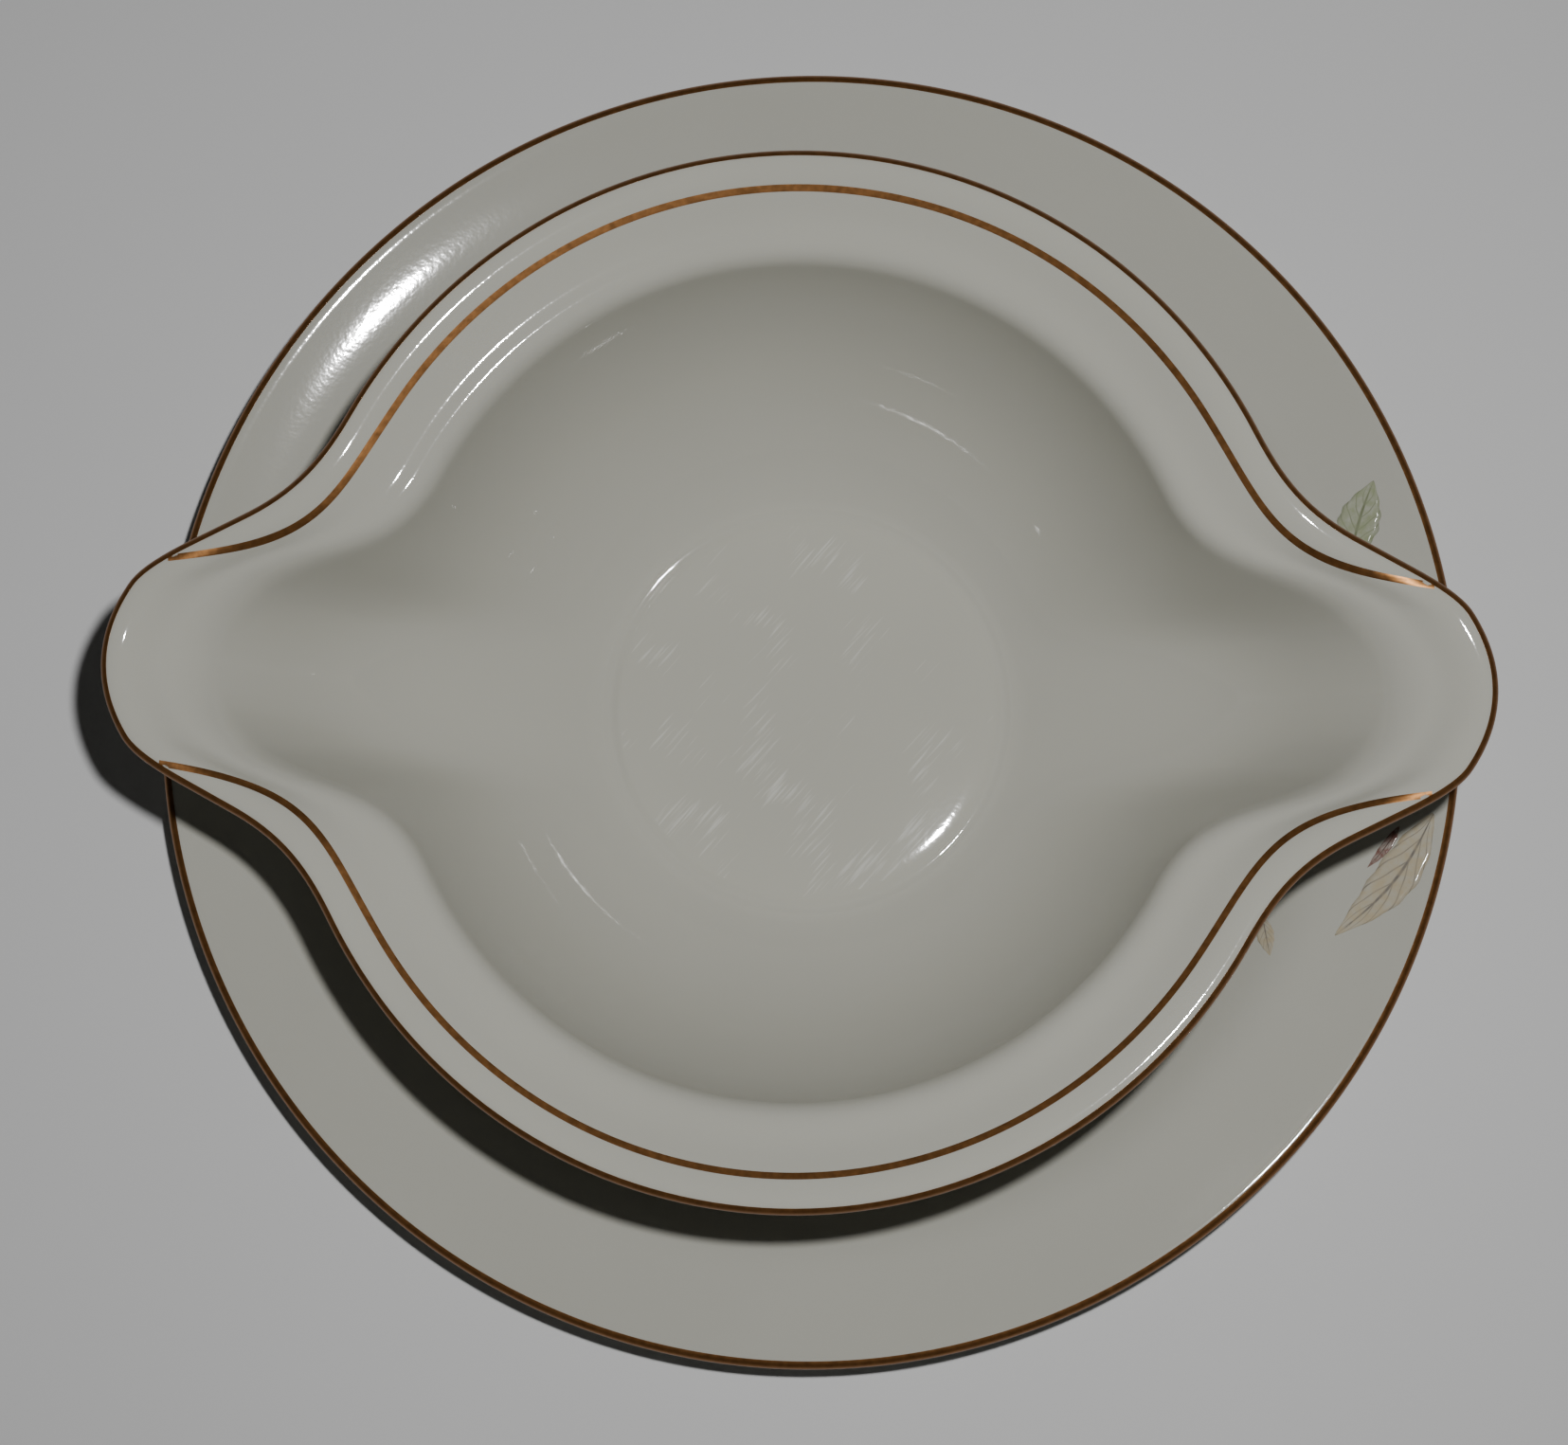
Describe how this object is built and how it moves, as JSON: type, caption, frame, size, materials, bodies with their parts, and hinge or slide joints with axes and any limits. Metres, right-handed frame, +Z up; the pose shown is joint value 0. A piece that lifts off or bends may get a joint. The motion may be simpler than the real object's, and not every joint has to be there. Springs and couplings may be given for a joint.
{
  "type": "gravy boat with underplate",
  "caption": "Round porcelain gravy boat with a pouring spout at each end, standing in the well of its underplate, with gilded edges and a small leaf spray.",
  "frame": {"origin": "centre of the ring that the underplate stands on, on the table plane", "axes": "+Z up, +X along the line from one spout to the other, +Y across the bowl"},
  "size_m": [0.2162, 0.2162, 0.0747],
  "materials": {
    "porcelain": "clear gloss glaze over ivory-white porcelain",
    "gilding": "burnished fired-on gold",
    "transfer_green": "fired-on transfer under gloss, pale green",
    "transfer_ochre": "fired-on transfer under gloss, pale ochre",
    "transfer_russet": "fired-on transfer under gloss, russet"
  },
  "bodies": {
    "stand": {"underplate": "porcelain", "underplate_edge_gilding": "gilding", "leaf_transfer_green": "transfer_green", "leaf_transfer_ochre": "transfer_ochre", "leaf_transfer_russet": "transfer_russet"},
    "boat": {"sauce_boat": "porcelain", "boat_edge_gilding": "gilding", "lip_line_gilding_back": "gilding", "lip_line_gilding_front": "gilding"}
  },
  "joints": [
    {"name": "boat_lift", "type": "slide", "parent": "stand", "child": "boat", "axis": [0, 0, 1], "range_m": [0, 0.08]}
  ]
}
